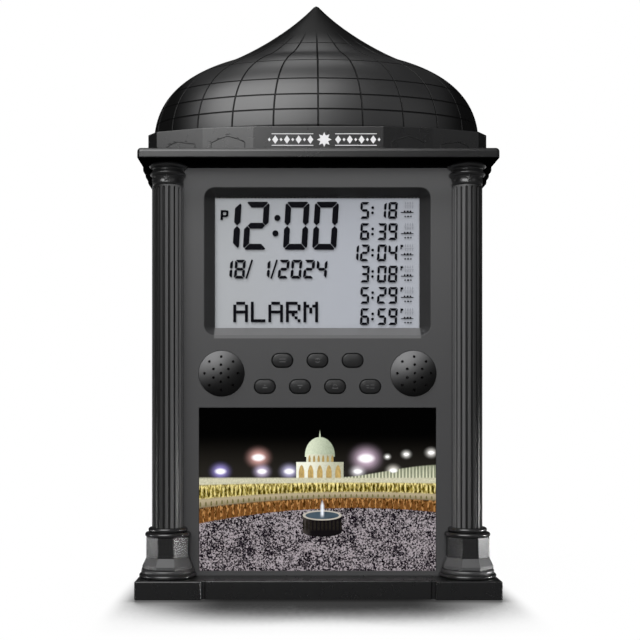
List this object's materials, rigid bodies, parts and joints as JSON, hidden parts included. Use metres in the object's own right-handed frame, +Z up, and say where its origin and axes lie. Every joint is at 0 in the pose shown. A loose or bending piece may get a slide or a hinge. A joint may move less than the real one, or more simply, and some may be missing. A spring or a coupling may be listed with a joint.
{
  "type": "prayer-time alarm clock",
  "caption": "Upright alarm clock shaped like a small domed building, with columns, a digital display, keys, loudspeakers and a picture plate.",
  "frame": {"origin": "middle of the base, on the plane that the feet stand on", "axes": "+Z up, -Y the front with the display, +X to the right seen from the front"},
  "size_m": [0.1844, 0.092, 0.3142],
  "materials": {
    "case_black": "satin black moulded plastic",
    "panel_grey": "fine-grained matte dark grey plastic",
    "dome_black": "satin black plastic with fine joint lines",
    "key_black": "smooth dark plastic",
    "cap_black": "satin dark plastic",
    "lcd_glass": "polished with a matte polariser",
    "backlight": "pale translucent light guide",
    "holder_black": "plain moulded",
    "zebra_rubber": "soft",
    "circuit_board": "solder mask",
    "chip_black": "moulded",
    "steel": "zinc plated",
    "contact_nickel": "nickel plated spring steel",
    "magnet": "pressed ferrite",
    "cone_film": "thin film",
    "silicone": "soft grey",
    "print": "glossy printed plate",
    "foot_rubber": "black"
  },
  "bodies": {
    "case": {"base_moulding": "case_black", "base_plate": "case_black", "base_screws": "steel", "battery_leaf_contacts": "contact_nickel", "battery_plate_contacts": "contact_nickel", "board_components": "chip_black", "board_screws": "steel", "body_screws": "steel", "column_capital_left": "case_black", "column_capital_right": "case_black", "column_pedestal_left": "case_black", "column_pedestal_right": "case_black", "column_shaft_left": "case_black", "column_shaft_right": "case_black", "cornice": "case_black", "cornice_screws": "steel", "dome_drum": "case_black", "dome_shell": "dome_black", "front_housing": "panel_grey", "housing_screws": "steel", "key_board": "circuit_board", "key_dome_1": "silicone", "key_dome_2": "silicone", "key_dome_3": "silicone", "key_dome_4": "silicone", "key_dome_5": "silicone", "key_dome_6": "silicone", "key_dome_7": "silicone", "keypad_mat": "silicone", "lcd_backlight": "backlight", "lcd_glass": "lcd_glass", "lcd_holder": "holder_black", "main_board": "circuit_board", "picture_plate": "print", "plinth": "case_black", "rear_housing": "panel_grey", "rubber_feet": "foot_rubber", "speaker_cap_left": "cap_black", "speaker_cap_right": "cap_black", "speaker_cone_left": "cone_film", "speaker_cone_right": "cone_film", "speaker_frame_left": "steel", "speaker_frame_right": "steel", "speaker_magnet_left": "magnet", "speaker_magnet_right": "magnet", "zebra_strips": "zebra_rubber"},
    "battery_door": {"battery_door": "panel_grey"},
    "key_1": {"key_button_1": "key_black"},
    "key_2": {"key_button_2": "key_black"},
    "key_3": {"key_button_3": "key_black"},
    "key_4": {"key_button_4": "key_black"},
    "key_5": {"key_button_5": "key_black"},
    "key_6": {"key_button_6": "key_black"},
    "key_7": {"key_button_7": "key_black"}
  },
  "joints": [
    {"name": "door_hinge", "type": "hinge", "parent": "case", "child": "battery_door", "pos_m": [0, 0.03895, 0.0948], "axis": [1, 0, 0], "range_deg": [0, 95]},
    {"name": "key_1_press", "type": "slide", "parent": "case", "child": "key_1", "axis": [0, 1, 0], "range_m": [0, 0.0009], "stiffness_N_per_m": 600, "deforming": ["key_dome_1"]},
    {"name": "key_2_press", "type": "slide", "parent": "case", "child": "key_2", "axis": [0, 1, 0], "range_m": [0, 0.0009], "stiffness_N_per_m": 600, "deforming": ["key_dome_2"]},
    {"name": "key_3_press", "type": "slide", "parent": "case", "child": "key_3", "axis": [0, 1, 0], "range_m": [0, 0.0009], "stiffness_N_per_m": 600, "deforming": ["key_dome_3"]},
    {"name": "key_4_press", "type": "slide", "parent": "case", "child": "key_4", "axis": [0, 1, 0], "range_m": [0, 0.0009], "stiffness_N_per_m": 600, "deforming": ["key_dome_4"]},
    {"name": "key_5_press", "type": "slide", "parent": "case", "child": "key_5", "axis": [0, 1, 0], "range_m": [0, 0.0009], "stiffness_N_per_m": 600, "deforming": ["key_dome_5"]},
    {"name": "key_6_press", "type": "slide", "parent": "case", "child": "key_6", "axis": [0, 1, 0], "range_m": [0, 0.0009], "stiffness_N_per_m": 600, "deforming": ["key_dome_6"]},
    {"name": "key_7_press", "type": "slide", "parent": "case", "child": "key_7", "axis": [0, 1, 0], "range_m": [0, 0.0009], "stiffness_N_per_m": 600, "deforming": ["key_dome_7"]}
  ]
}
